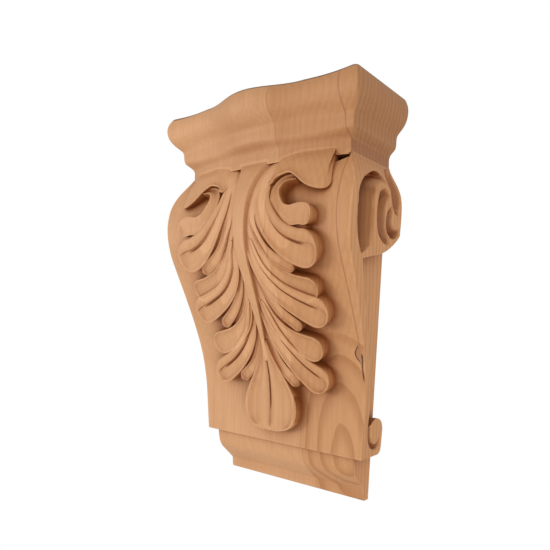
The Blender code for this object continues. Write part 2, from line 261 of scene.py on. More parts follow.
# outer edge and crest of the wide hollow: y, height, y, height, depth
voluteHollow = [
    (-0.0590, 0.1950, -0.0400, 0.2000, 0.0040),
    (-0.0655, 0.2065, -0.0390, 0.2080, 0.0100),
    (-0.0685, 0.2180, -0.0400, 0.2180, 0.0120),
    (-0.0692, 0.2300, -0.0408, 0.2290, 0.0125),
    (-0.0676, 0.2415, -0.0402, 0.2400, 0.0120),
    (-0.0600, 0.2500, -0.0365, 0.2480, 0.0110),
    (-0.0480, 0.2565, -0.0320, 0.2520, 0.0105),
    (-0.0370, 0.2610, -0.0270, 0.2535, 0.0095),
    (-0.0290, 0.2625, -0.0235, 0.2530, 0.0080),
    (-0.0235, 0.2600, -0.0212, 0.2515, 0.0050),
    (-0.0212, 0.2550, -0.0200, 0.2500, 0.0020),
]
# grooves: y, height, half-width, depth
sideGrooves = [
    [  # between the barrel's crest and the thin ridge
        (-0.0150, 0.2078, 0.0012, 0.0002), (-0.0202, 0.2083, 0.0030, 0.0026),
        (-0.0265, 0.2115, 0.0046, 0.0055), (-0.0315, 0.2175, 0.0058, 0.0074),
        (-0.0338, 0.2250, 0.0064, 0.0082), (-0.0340, 0.2330, 0.0062, 0.0080),
        (-0.0312, 0.2405, 0.0056, 0.0070), (-0.0260, 0.2450, 0.0044, 0.0050),
        (-0.0215, 0.2455, 0.0026, 0.0018),
    ],
    [  # round the eye
        (-0.0028, 0.2182, 0.0022, 0.0016), (-0.0085, 0.2155, 0.0034, 0.0048),
        (-0.0150, 0.2160, 0.0044, 0.0064), (-0.0200, 0.2210, 0.0050, 0.0066),
        (-0.0208, 0.2280, 0.0042, 0.0056), (-0.0180, 0.2335, 0.0026, 0.0026),
    ],
    [  # recess behind the volute
        (-0.0030, 0.2700, 0.0026, 0.0010), (-0.0080, 0.2645, 0.0058, 0.0052),
        (-0.0103, 0.2570, 0.0072, 0.0080), (-0.0100, 0.2485, 0.0074, 0.0088),
        (-0.0098, 0.2405, 0.0068, 0.0080), (-0.0082, 0.2350, 0.0046, 0.0048),
        (-0.0055, 0.2325, 0.0026, 0.0016),
    ],
    [  # hook in the curl at the foot
        (-0.0232, 0.0760, 0.0010, 0.0004), (-0.0228, 0.0670, 0.0018, 0.0028),
        (-0.0222, 0.0580, 0.0019, 0.0034), (-0.0196, 0.0505, 0.0020, 0.0036),
        (-0.0135, 0.0460, 0.0020, 0.0036), (-0.0075, 0.0466, 0.0019, 0.0032),
        (-0.0040, 0.0515, 0.0011, 0.0012),
    ],
]
hollowShape = [  # way across from edge to crest, share of the depth
    (0.0, 0.0), (0.035, 0.62), (0.07, 0.92), (0.12, 1.0), (0.25, 0.90), (0.45, 0.62),
    (0.65, 0.34), (0.82, 0.13), (1.0, 0.0),
]


def makeTree(points):
    tree = kdtree.KDTree(len(points))
    for i, point in enumerate(points):
        tree.insert((point[0], point[1], 0.0), i)
    tree.balance()
    return tree


grooveLines = [pathPoints(line, slab["grooveRows"]) for line in sideGrooves]
grooveTrees = [makeTree(line) for line in grooveLines]
hollowRows = pathPoints(voluteHollow, slab["hollowRows"])
edgeTree = makeTree(hollowRows)
crestTree = makeTree([row[2:4] for row in hollowRows])


def sideRelief(y, z):
    depth = 0.0
    spot = (y, z, 0.0)
    for line, tree in zip(grooveLines, grooveTrees):
        index, gap = tree.find(spot)[1:]
        width, most = line[index][2:4]
        if gap < width:
            depth = max(depth, most * (1 - (gap / width) ** 2) ** slab["grooveRound"])
    index, gap = edgeTree.find(spot)[1:]
    ey, ez, cy, cz, most = hollowRows[index]
    inside = (y - ey) * (cy - ey) + (z - ez) * (cz - ez) > 0
    if inside:
        far = crestTree.find(spot)[2]
        across = gap / (gap + far)
        reach = math.dist((ey, ez), (cy, cz))
        if far < reach * slab["crestReach"] and 0 < index < len(hollowRows) - 1:
            depth = max(depth, most * smoothValue(hollowShape, across))
    return depth


def scrollOutline():
    high = body["neck"] + slab["overlap"]
    outline = [(-frontDepth(z), z) for z in spread(body["footTop"], high, slab["frontRows"])]
    outline += [(0.0, high), (0.0, voluteUnder[-1][1] + slab["wallStep"])]
    outline += [point[:2] for point in reversed(pathPoints(voluteUnder, slab["underRows"]))]
    for z in reversed(spread(slab["bandFoot"], slab["bandTop"], slab["bandRows"])):
        outline.append((-frontDepth(z) + smoothValue(bandKnots, z), z))
    for i in range(curl["steps"] + 1):
        angle = math.radians(curl["turn"] - curl["turn"] * i / curl["steps"])
        out, rise = curl["radius"] * math.cos(angle), curl["radius"] * math.sin(angle)
        outline.append((curl["y"] + out, curl["z"] + rise))
    right = curl["y"] + curl["radius"]
    return outline + [(right - inward, body["footTop"] + lift) for inward, lift in curl["foot"]]


def stepped(stops):  # grid lines: fine where the carving is
    lines = [stops[0][0]]
    for (low, step), (high, after) in zip(stops, stops[1:]):
        count = max(round((high - low) / step), 1)
        lines += [low + (high - low) * (i + 1) / count for i in range(count)]
    return lines


def buildScroll():
    ys = stepped(slab["ySteps"])
    zs = stepped(slab["zSteps"])
    bm = bmesh.new()
    columns, rows = len(ys) - 1, len(zs) - 1
    made = bmesh.ops.create_grid(bm, x_segments=columns, y_segments=rows, size=0.5)["verts"]
    for vert in made:
        y = ys[round((vert.co.x + 0.5) * columns)]
        z = zs[round((vert.co.y + 0.5) * rows)]
        side = sideWidth(clamp(z, sideKnots[0][0], sideKnots[-1][0]))
        vert.co = (side - sideRelief(y, z), y, z)
    inner = [vert for vert in bm.verts if not vert.is_boundary]
    for _ in range(slab["smoothings"]):
        bmesh.ops.smooth_vert(bm, verts=inner, factor=0.5, use_axis_x=True)
    addMirror(bm)
    bmesh.ops.bridge_loops(bm, edges=[edge for edge in bm.edges if edge.is_boundary])
    scroll = newObject("scroll", bm)
    bm = bmesh.new()
    prism(bm, scrollOutline(), lambda z: slab["halfWidth"])
    applyBoolean(scroll, newObject("scroll_outline", bm), "INTERSECT")
    cutSlot(scroll)
    return scroll


slot = {
    "corners": [
        (0.0700, 0.2644), (0.0700, 0.2714), (0.0864, 0.2714), (0.0868, 0.2676), (0.0793, 0.2652),
    ],
    "front": -0.080, "back": -0.050,
}


def cutSlot(piece):  # chisel slot between the crown and the flap, on the right
    bm = bmesh.new()
    face = bm.faces.new([bm.verts.new((x, slot["front"], z)) for x, z in slot["corners"]])
    moved = bmesh.ops.extrude_face_region(bm, geom=[face])["geom"]
    deep = [item for item in moved if isinstance(item, bmesh.types.BMVert)]
    bmesh.ops.translate(bm, verts=deep, vec=(0.0, slot["back"] - slot["front"], 0.0))
    applyBoolean(piece, newObject("slot_cutter", bm), "DIFFERENCE")


# panelled block with the foot moulding
def buildCore():
    high = body["neck"] + body["coreOverlap"]
    setback = body["panelSetback"]
    outline = [(-smoothValue(footKnots, z), z) for z in spread(0.0, body["footTop"], body["footRows"])]
    for z in spread(body["footTop"] + body["panelStart"], body["neck"], body["panelRows"]):
        outline.append((setback - frontDepth(z), z))
    outline += [(setback - frontDepth(body["neck"]), high), (0.0, high), (0.0, 0.0)]
    bm = bmesh.new()
    prism(bm, outline, panelWidth)
    core = newObject("core", bm)
    cutSlot(core)
    return core


# acanthus leaf
leaf = {
    "relief": 0.0108, "sink": 0.0030, "rim": 0.0009, "rimWidth": 0.1,
    "cut": 0.0014, "cutWidth": 0.0012, "cutNarrow": 0.045, "cutBroad": 0.090,
    "rows": 60, "tipRows": 16, "tipTurn": 89, "curlFlatter": 0.55,
    "stripHalf": 16, "stripRows": 90, "stemShare": 0.98, "stemDrop": 0.0056,
    "webShare": 0.65, "webDrop": 0.0022, "stripBow": 0.12, "stripEdge": 0.88,
    "edgeStart": 0.74, "edgeRun": 0.26,
    "hollowEnd": 0.42, "hollowNarrow": 0.6, "cutEnd": 0.7, "cutStart": 0.45, "cutLift": 0.08,
    "skirt": 0.97, "skirtTop": 0.99, "skirtLevel": 0.3,
}
drop = {
    "hollow": 0.0030, "fullHollow": 0.008, "fullWidth": 0.02, "cutFoot": 0.066, "cutFade": 0.01,
    "share": 0.97, "lip": 0.0012, "lipHeight": 0.003, "rows": 90,
    "narrow": 0.7,
}
stemWidths = [  # height, half-width
    (0.2735, 0.0290), (0.2700, 0.0225), (0.2650, 0.0172), (0.2560, 0.0124), (0.2440, 0.0094),
    (0.2280, 0.0080), (0.2080, 0.0070), (0.1850, 0.0060), (0.1600, 0.0046), (0.1350, 0.0030),
    (0.1120, 0.0014),
]
webWidths = [
    (0.2700, 0.0240), (0.2550, 0.0290), (0.2400, 0.0300), (0.2310, 0.0380), (0.2240, 0.0520),
    (0.2160, 0.0625), (0.2080, 0.0610),
    (0.1980, 0.0500), (0.1890, 0.0410), (0.1780, 0.0440), (0.1640, 0.0480), (0.1520, 0.0450),
    (0.1430, 0.0370), (0.1300, 0.0370), (0.1150, 0.0340), (0.1020, 0.0270), (0.0940, 0.0160),
]
dropWidths = [
    (0.1300, 0.0030), (0.1150, 0.0075), (0.1020, 0.0145), (0.0920, 0.0205), (0.0820, 0.0255),
    (0.0720, 0.0278), (0.0630, 0.0268), (0.0565, 0.0228), (0.0525, 0.0165), (0.0505, 0.0080),
]
# section shapes: place across from the lower side to the upper, share of the hollow, share of the cut
gougeHalf = [(0.0, 1.02), (0.2, 1.0), (0.4, 0.93), (0.56, 0.78), (0.68, 0.56), (0.78, 0.28),
             (0.85, 0.08), (0.90, 0.0), (0.94, 0.0), (0.975, 0.0), (1.0, 0.0)]
dropHalf = [(0.03, 0.75), (0.08, 0.42), (0.15, 0.14), (0.24, 0.0), (0.34, 0.10), (0.46, 0.45),
            (0.58, 0.85), (0.68, 1.0), (0.76, 0.90), (0.83, 0.50), (0.88, 0.15), (0.92, 0.0),
            (0.96, 0.0), (0.985, 0.0), (1.0, 0.0)]


def mirrorHalf(half):
    return [(-place, share, 0) for place, share in reversed(half)]


def plainHalf(half):
    return [(place, share, 0) for place, share in half]


sections = {
    "main": [(-1.0, 0.0, 0), (-0.985, 0.0, 0), (-0.96, 0.0, 0), (-0.93, 0.0, 0), (-0.89, 0.03, 0),
             (-0.84, 0.16, 0), (-0.76, 0.45, 0), (-0.66, 0.72, 0), (-0.54, 0.90, 0), (-0.38, 1.0, 0),
             (-0.2, 1.03, 0), (-0.02, 1.0, 0), (0.1, 0.96, 0), (0.2, 0.92, 1), (0.32, 0.50, 0),
             (0.42, 0.26, 0), (0.54, 0.08, 0), (0.66, 0.0, 0), (0.78, 0.02, 0), (0.88, 0.10, 0),
             (0.94, 0.18, 0), (0.98, 0.25, 0), (1.0, 0.30, 0)],
    "gouge": mirrorHalf(gougeHalf[1:]) + plainHalf(gougeHalf),
    "drop": mirrorHalf(dropHalf) + [(0.0, 0.85, 1)] + plainHalf(dropHalf),
    "curl": [(-1.0, 0.70, 0), (-0.97, 0.62, 0), (-0.90, 0.70, 0), (-0.78, 0.86, 0), (-0.62, 0.97, 0),
             (-0.45, 1.0, 0), (-0.25, 0.96, 0), (-0.05, 0.84, 0), (0.15, 0.67, 0), (0.35, 0.48, 0),
             (0.52, 0.31, 0), (0.67, 0.17, 0), (0.80, 0.07, 0), (0.90, 0.01, 0), (0.96, 0.0, 0),
             (1.0, 0.0, 0)],
    "cheek": [(-1.0, 1.0, 0), (-0.97, 0.80, 0), (-0.90, 0.52, 0), (-0.78, 0.28, 0), (-0.60, 0.10, 0),
              (-0.40, 0.02, 0), (-0.15, 0.0, 0), (0.15, 0.0, 0), (0.40, 0.02, 0), (0.60, 0.10, 0),
              (0.78, 0.28, 0), (0.90, 0.52, 0), (0.97, 0.80, 0), (1.0, 1.0, 0)],
}
# power of the width from root to tip
widening = {"main": 0.85, "gouge": 1.1, "curl": 0.5, "cheek": 1.2}
# section, spine as (x, height), half-width at root and tip, relief's share at root and tip, hollow
fingers = [
    ("cheek", ((0.0400, 0.2740), (0.0255, 0.2650), (0.0165, 0.2500), (0.0125, 0.2330), (0.0120, 0.2150)),
     0.0092, 0.0030, 0.86, 0.58, 0.0022),
    ("curl", ((0.0510, 0.2500), (0.0440, 0.2512), (0.0370, 0.2490), (0.0334, 0.2425), (0.0350, 0.2348),
              (0.0410, 0.2262), (0.0500, 0.2225), (0.0600, 0.2228), (0.0708, 0.2208)),
     0.0010, 0.0074, 0.76, 0.97, 0.0054),
    ("main", ((0.0205, 0.2560), (0.0225, 0.2330), (0.0370, 0.2120), (0.0545, 0.2020), (0.0735, 0.1985)),
     0.0040, 0.0130, 0.58, 1.0, 0.0032),
    ("gouge", ((0.0100, 0.2350), (0.0145, 0.2170), (0.0265, 0.1995), (0.0490, 0.1868)),
     0.0026, 0.0048, 0.58, 0.90, 0.0022),
    ("gouge", ((0.0085, 0.2200), (0.0160, 0.2020), (0.0270, 0.1870), (0.0440, 0.1760), (0.0660, 0.1695)),
     0.0030, 0.0092, 0.64, 0.94, 0.0026),
    ("main", ((0.0075, 0.2080), (0.0150, 0.1860), (0.0285, 0.1705), (0.0500, 0.1585), (0.0705, 0.1510)),
     0.0038, 0.0122, 0.72, 1.0, 0.0030),
    ("gouge", ((0.0065, 0.1960), (0.0130, 0.1720), (0.0250, 0.1550), (0.0425, 0.1408)),
     0.0026, 0.0050, 0.57, 0.88, 0.0022),
    ("gouge", ((0.0050, 0.1750), (0.0130, 0.1490), (0.0290, 0.1330), (0.0585, 0.1215)),
     0.0030, 0.0105, 0.63, 0.94, 0.0026),
    ("main", ((0.0045, 0.1620), (0.0150, 0.1330), (0.0340, 0.1105), (0.0595, 0.0930)),
     0.0034, 0.0118, 0.71, 1.0, 0.0030),
    ("gouge", ((0.0030, 0.1500), (0.0070, 0.1250), (0.0150, 0.1075), (0.0310, 0.0925)),
     0.0026, 0.0054, 0.56, 0.87, 0.0022),
]
# flap under the crown: x, height of its lower edge, level, height of its top
flap = [
    (0.0200, 0.2550, 0.0046, 0.2662), (0.0235, 0.2495, 0.0070, 0.2695), (0.0266, 0.2470, 0.0086, 0.2724),
    (0.0292, 0.2480, 0.0095, 0.2738), (0.0306, 0.2503, 0.0096, 0.2740), (0.0337, 0.2522, 0.0097, 0.2740),
    (0.0371, 0.2531, 0.0098, 0.2740), (0.0410, 0.2539, 0.0098, 0.2740), (0.0440, 0.2535, 0.0097, 0.2740),
    (0.0487, 0.2511, 0.0093, 0.2740), (0.0518, 0.2491, 0.0089, 0.2740), (0.0548, 0.2468, 0.0084, 0.2740),
    (0.0588, 0.2443, 0.0077, 0.2740), (0.0632, 0.2423, 0.0069, 0.2740), (0.0678, 0.2408, 0.0062, 0.2740),
    (0.0721, 0.2400, 0.0054, 0.2740), (0.0758, 0.2404, 0.0042, 0.2740), (0.0782, 0.2424, 0.0030, 0.2740),
    (0.0794, 0.2456, 0.0020, 0.2740),
]


def sectionRing(spot, across, width, height, hollow, cut, shape):
    ring = []
    notch = clamp(leaf["cutWidth"] / width, leaf["cutNarrow"], leaf["cutBroad"])
    levels = []
    for place, share, cutShare in sections[shape]:
        edge = max((abs(place) - 1 + leaf["rimWidth"]) / leaf["rimWidth"], 0.0)
        rounding = leaf["rim"] * (1 - math.sqrt(max(1 - edge * edge, 0.0)))
        level = height - hollow * share - rounding
        if cutShare:
            levels += [(place - notch, level), (place, level - cut)]
            levels.append((place + notch, level + hollow * leaf["cutLift"]))
        else:
            levels.append((place, level))
    out, top, share = leaf["skirt"], leaf["skirtTop"], leaf["skirtLevel"]
    levels = [(-out, -leaf["sink"]), (-top, levels[0][1] * share)] + levels
    levels += [(top, levels[-1][1] * share), (out, -leaf["sink"])]
    for place, level in levels:
        away = place * width
        ring.append(onFront(spot[0] + across[0] * away, spot[1] + across[1] * away, level))
    return ring


def fingerRings(shape, spine, root, tip, rootShare, tipShare, hollow):
    length = pathLength(spine)
    straight = leaf["rows"]
    spots = [((length - tip) * i / straight, 1.0) for i in range(straight + 1)]
    for i in range(1, leaf["tipRows"] + 1):
        angle = math.radians(leaf["tipTurn"] * i / leaf["tipRows"])
        spots.append((length - tip * (1 - math.sin(angle)), math.cos(angle)))
    rings = []
    for distance, narrowing in spots:
        spot = pathAt(spine, distance)
        before = pathAt(spine, max(distance - 0.001, 0.0))
        after = pathAt(spine, min(distance + 0.001, length))
        run = math.dist(before, after)
        across = (-(after[1] - before[1]) / run, (after[0] - before[0]) / run)
        share = clamp(distance / (length - tip))
        width = (root + (tip - root) * share ** widening[shape]) * narrowing
        rise = rootShare + (tipShare - rootShare) * math.sin(math.pi * share / 2)
        left = length - distance
        deep = hollow * smooth(left / (leaf["hollowEnd"] * tip))
        deep *= clamp(width / narrowing / tip) ** leaf["hollowNarrow"]
        if shape == "curl":
            deep *= 1 - leaf["curlFlatter"] * smooth(share)
        fade = leaf["cutEnd"] * tip
        cut = leaf["cut"] * clamp((left - fade) / fade) * smooth(share / leaf["cutStart"])
        rings.append(sectionRing(spot, across, width, leaf["relief"] * rise, deep, cut, shape))
    return rings


def stripRings(widths, share, edgeDrop):
    height = leaf["relief"] * share
    half = leaf["stripHalf"]
    knots = [(-z, width) for z, width in widths]
    rings = []
    for z in spread(widths[0][0], widths[-1][0], leaf["stripRows"]):
        width = smoothValue(knots, -z)
        ring = [onFront(-width, z, -leaf["sink"])]
        for i in range(-half, half + 1):
            part = i / half
            edge = smooth((abs(part) - leaf["edgeStart"]) / leaf["edgeRun"])
            fall = leaf["stripBow"] * part * part + leaf["stripEdge"] * edge
            ring.append(onFront(width * part, z, height - edgeDrop * fall))
        rings.append(ring + [onFront(width, z, -leaf["sink"])])
    return rings


flapForm = {
    "steps": 100, "lip": 0.0012, "lipLift": 0.0003, "end": 0.0794, "endRun": 0.005,
    "endSink": 0.0008, "endLean": 0.0062, "dip": 0.0013, "dipEnd": 0.079, "dipRun": 0.02,
    "parts": (0.8, 0.6, 0.45, 0.3, 0.2, 0.14, 0.10), "turns": (0.2, 0.6, 1.05, 1.5),
    "under": (0.0012, 0.0040, -0.0005), "tuck": 0.0040,
}


def flapDip(part, x):  # shallow hollow behind the lip
    fade = smooth((flapForm["dipEnd"] - x) / flapForm["dipRun"])
    return math.sin(math.pi * clamp(part / 0.5)) * fade


def flapRings():
    length = pathLength(flap)
    lip = flapForm["lip"]
    inset, fall, least = flapForm["under"]
    rings = []
    for i in range(flapForm["steps"] + 1):
        x, low, level, high = pathAt(flap, length * i / flapForm["steps"])
        edge = 1 - smooth((flapForm["end"] - x) / flapForm["endRun"])  # the outer end leans in and sinks
        level -= flapForm["endSink"] * edge
        profile = [(high, -leaf["sink"]), (high, level)]
        for part in flapForm["parts"]:
            profile.append((low + (high - low) * part, level - flapForm["dip"] * flapDip(part, x)))
        for turn in flapForm["turns"]:
            rounded = level - lip * (1 - math.cos(turn)) + flapForm["lipLift"]
            profile.append((low + lip * (1 - math.sin(turn)), rounded))
        profile += [(low + inset, max(level - fall, least)), (low + flapForm["tuck"], -leaf["sink"])]
        ring = []
        for z, height in profile:
            lean = flapForm["endLean"] * edge * (z - low) / (high - low)
            ring.append(onFront(x - lean, z, height))
        rings.append(ring)
    return rings


def dropRings():  # lowest lobe, on the middle line
    knots = [(-z, width) for z, width in dropWidths]
    low = dropWidths[-1][0]
    rings = []
    for z in spread(dropWidths[0][0], low, drop["rows"]):
        width = smoothValue(knots, -z)
        deep = drop["hollow"] * smooth((z - low) / drop["fullHollow"])
        deep *= clamp(width / drop["fullWidth"]) ** drop["narrow"]
        cut = leaf["cut"] * clamp((z - drop["cutFoot"]) / drop["cutFade"])
        rounding = drop["lip"] * (1 - smooth((z - low) / drop["lipHeight"]))
        height = leaf["relief"] * drop["share"] - rounding
        rings.append(sectionRing((0.0, z), (1.0, 0.0), width, height, deep, cut, "drop"))
    return rings


def buildLeaf():
    bm = bmesh.new()
    for sizes in fingers:
        sheet(bm, fingerRings(*sizes))
    sheet(bm, flapRings())
    addMirror(bm)
    sheet(bm, dropRings())
    sheet(bm, stripRings(stemWidths, leaf["stemShare"], leaf["stemDrop"]))
    sheet(bm, stripRings(webWidths, leaf["webShare"], leaf["webDrop"]))
    return newObject("acanthus_leaf", bm)


# the backs lie a hair apart, so that no two faces share the wall plane
backTuck = {"scroll": 0.00004, "core": 0.00008}


def lowerToFrame(piece):  # tables start at the foot, the frame's origin is half-way up
    tuck = backTuck.get(piece.name, 0.0)
    for vert in piece.data.vertices:
        vert.co.y = min(vert.co.y, -tuck)
    piece.data.transform(Matrix.Translation((0, 0, -body["middle"])))


pieces = [buildScroll(), buildCrown(), buildCore(), buildLeaf()]
for piece in pieces:
    lowerToFrame(piece)
    print(piece.name, len(piece.data.polygons))


# shader nodes
def put(tree, value, socket):  # a socket or a plain number
    if isinstance(value, bpy.types.NodeSocket):
        tree.links.new(value, socket)
    else:
        socket.default_value = value


def calc(tree, operation, *values):
    node = tree.nodes.new("ShaderNodeMath")
    node.operation = operation
    for value, socket in zip(values, node.inputs):
        put(tree, value, socket)
    return node.outputs[0]


def times(tree, first, *others):
    for other in others:
        first = calc(tree, "MULTIPLY", first, other)
    return first


def plus(tree, first, second):
    return calc(tree, "ADD", first, second)


def minus(tree, first, second):
    return calc(tree, "SUBTRACT", first, second)


def size(tree, value):
    return calc(tree, "ABSOLUTE", value)


def within(tree, value, low, high, smoothStep=True):  # 0 at low, 1 at high, also when high is less
    node = tree.nodes.new("ShaderNodeMapRange")
    node.interpolation_type = "SMOOTHSTEP" if smoothStep else "LINEAR"
    put(tree, value, node.inputs["Value"])
    put(tree, low, node.inputs["From Min"])
    put(tree, high, node.inputs["From Max"])
    return node.outputs["Result"]


def blend(tree, factor, first, second, kind="MIX"):
    node = tree.nodes.new("ShaderNodeMix")
    node.data_type = "RGBA"
    node.blend_type = kind
    put(tree, factor, node.inputs[0])
    put(tree, first, node.inputs[6])
    put(tree, second, node.inputs[7])
    return node.outputs[2]


def tinted(tree, color, factor, tint):
    return blend(tree, factor, color, (*tint, 1), "MULTIPLY")


def stretchedNoise(tree, vector, stretch, detail=3.0):
    place = tree.nodes.new("ShaderNodeVectorMath")
    place.operation = "MULTIPLY"
    put(tree, vector, place.inputs[0])
    place.inputs[1].default_value = stretch
    noise = tree.nodes.new("ShaderNodeTexNoise")
    noise.inputs["Scale"].default_value = 1.0
    noise.inputs["Detail"].default_value = detail
    tree.links.new(place.outputs[0], noise.inputs["Vector"])
    return noise.outputs["Fac"]


def sway(tree, vector, stretch, detail=3.0):  # noise about zero
    return minus(tree, stretchedNoise(tree, vector, stretch, detail), 0.5)


def newGroup(name, inputs, outputs):
    tree = bpy.data.node_groups.new(name, "ShaderNodeTree")
    for label, kind in inputs:
        tree.interface.new_socket(label, in_out="INPUT", socket_type=kind)
    for label, kind in outputs:
        tree.interface.new_socket(label, in_out="OUTPUT", socket_type=kind)
    return tree, tree.nodes.new("NodeGroupInput"), tree.nodes.new("NodeGroupOutput")


def useGroup(tree, group, **values):
    node = tree.nodes.new("ShaderNodeGroup")
    node.node_tree = group
    for label, value in values.items():
        put(tree, value, node.inputs[label.replace("_", " ")])
    return node


ringInputs = ("Pith X", "Pith Y", "Lean", "Level", "Spacing", "Wander")


def makeRings():  # growth rings round a leaning pith, and the fibre along them
    tree, start, end = newGroup(
        "growth_rings",
        [("Place", "NodeSocketVector")] + [(label, "NodeSocketFloat") for label in ringInputs],
        [("Rings", "NodeSocketFloat"), ("Streaks", "NodeSocketFloat")],
    )
    place = start.outputs["Place"]
    split = tree.nodes.new("ShaderNodeSeparateXYZ")
    tree.links.new(place, split.inputs[0])
    x, y, z = split.outputs
    wander = times(tree, sway(tree, place, (14, 14, 5)), start.outputs["Wander"])
    ripple = times(tree, sway(tree, place, (60, 60, 14), 2), 0.0040)
    dx = minus(tree, x, start.outputs["Pith X"])
    fall = times(tree, minus(tree, z, start.outputs["Level"]), start.outputs["Lean"])
    dy = plus(tree, minus(tree, y, start.outputs["Pith Y"]), fall)
    far = calc(tree, "SQRT", plus(tree, times(tree, dx, dx), times(tree, dy, dy)))
    far = plus(tree, plus(tree, far, wander), ripple)
    turn = calc(tree, "FRACT", calc(tree, "DIVIDE", far, start.outputs["Spacing"]))
    late = within(tree, turn, 0.35, 0.93)
    early = within(tree, turn, 1.0, 0.93)
    tree.links.new(times(tree, late, early), end.inputs["Rings"])
    tree.links.new(stretchedNoise(tree, place, (420, 420, 7), 4), end.inputs["Streaks"])
    return tree


def makeCavityShade():  # painted shade and warm bounce darken the deep cuts
    tree, start, end = newGroup(
        "cavity_shade",
        [("Color", "NodeSocketColor"), ("Open", "NodeSocketFloat"), ("Groove", "NodeSocketFloat")],
        [("Color", "NodeSocketColor")],
    )
    deep = within(tree, start.outputs["Open"], 1.0, 0.36)
    color = tinted(tree, start.outputs["Color"], deep, (0.44, 0.24, 0.10))
    fine = calc(tree, "POWER", minus(tree, 1.0, start.outputs["Groove"]), 1.4)
    color = tinted(tree, color, times(tree, fine, 0.5), (0.64, 0.40, 0.24))
    tree.links.new(color, end.inputs["Color"])
    return tree


# heights and places in the wood are measured from the frame's origin
boards = {
    "left": {
        "Pith_X": -0.33, "Pith_Y": 0.10, "Lean": 0.05, "Level": 0.0, "Spacing": 0.0034,
        "Wander": 0.022,
    },
    "arches": {
        "Pith_X": 0.066, "Pith_Y": -0.0317, "Lean": -0.31, "Level": -0.135, "Spacing": 0.0122,
        "Wander": 0.006,
    },
    "right": {
        "Pith_X": -0.30, "Pith_Y": -0.56, "Lean": 0.0, "Level": 0.0, "Spacing": 0.0042,
        "Wander": 0.014,
    },
    "paleWood": (0.560, 0.300, 0.148, 1), "paleLine": (0.450, 0.215, 0.094, 1),
    "deepWood": (0.505, 0.253, 0.113, 1), "deepLine": (0.385, 0.168, 0.064, 1),
    "seam": 0.0255, "seamSway": 0.006, "seamSoft": 0.0004, "glueHalf": 0.0007,
    "leftLines": 0.17, "rightLines": 0.20, "sideLines": 0.34, "archLines": 0.80,
}
# low front panel: its front is nearly upright, then comes forward
panelFront = {"low": -0.090, "high": -0.030, "depth": 0.0325, "swell": 0.0145}


def boardColor(tree, coords, x, y, z, sideways):
    rings = makeRings()
    left, arched, right = (
        useGroup(tree, rings, Place=coords, **boards[name]) for name in ("left", "arches", "right")
    )
    # cathedral arches low on the front panel, not on the leaf that stands before it
    rise = within(tree, z, panelFront["low"], panelFront["high"], False)
    panel = plus(tree, panelFront["depth"], times(tree, rise, rise, panelFront["swell"]))
    onPanel = within(tree, plus(tree, y, panel), -0.0060, -0.0030)
    arches = times(tree, minus(tree, 1.0, sideways), within(tree, z, -0.020, -0.040), onPanel)
    plain = times(tree, right.outputs["Rings"], minus(tree, 1.0, arches))
    contrast = plus(tree, boards["rightLines"], times(tree, sideways, boards["sideLines"]))
    arched = times(tree, arched.outputs["Rings"], arches, boards["archLines"])
    figure = plus(tree, times(tree, plain, contrast), arched)

    leftLines = times(tree, left.outputs["Rings"], boards["leftLines"])
    pale = blend(tree, leftLines, boards["paleWood"], boards["paleLine"])
    deep = blend(tree, figure, boards["deepWood"], boards["deepLine"])
    bend = times(tree, sway(tree, coords, (1, 1, 18), 1), boards["seamSway"])
    fromSeam = minus(tree, x, plus(tree, boards["seam"], bend))
    soft = boards["seamSoft"]
    color = blend(tree, within(tree, fromSeam, -soft, soft), pale, deep)

    bands = within(tree, stretchedNoise(tree, coords, (150, 150, 3), 2), 0.40, 0.62)
    color = tinted(tree, color, times(tree, bands, 0.16), (1.16, 1.20, 1.26))
    streaks = within(tree, left.outputs["Streaks"], 0.36, 0.66)
    color = tinted(tree, color, times(tree, streaks, 0.22), (0.80, 0.70, 0.58))
    cloud = within(tree, stretchedNoise(tree, coords, (22, 22, 9), 2), 0.35, 0.70)
    color = tinted(tree, color, times(tree, cloud, 0.30), (1.13, 1.17, 1.22))
    fibre = stretchedNoise(tree, coords, (1500, 1500, 45), 3)
    color = tinted(tree, color, times(tree, within(tree, fibre, 0.52, 0.75), 0.22), (0.74, 0.62, 0.50))
    glue = minus(tree, 1.0, within(tree, size(tree, fromSeam), 0.0, boards["glueHalf"]))
    color = tinted(tree, color, times(tree, glue, 0.35), (0.62, 0.50, 0.40))
    return color, fibre


gum = {
    "x": 0.0866, "bulgeLeft": 0.0046, "bulgeRight": 0.0008, "ragged": 0.0016,
    "thin": 0.0002, "thick": 0.0006, "soft": 0.0008,
    "leftRun": (-0.0550, -0.0365), "rightRun": (-0.0690, -0.0425),
    "heart": (0.30, 0.115, 0.055, 1), "bark": (0.070, 0.021, 0.008, 1),
}


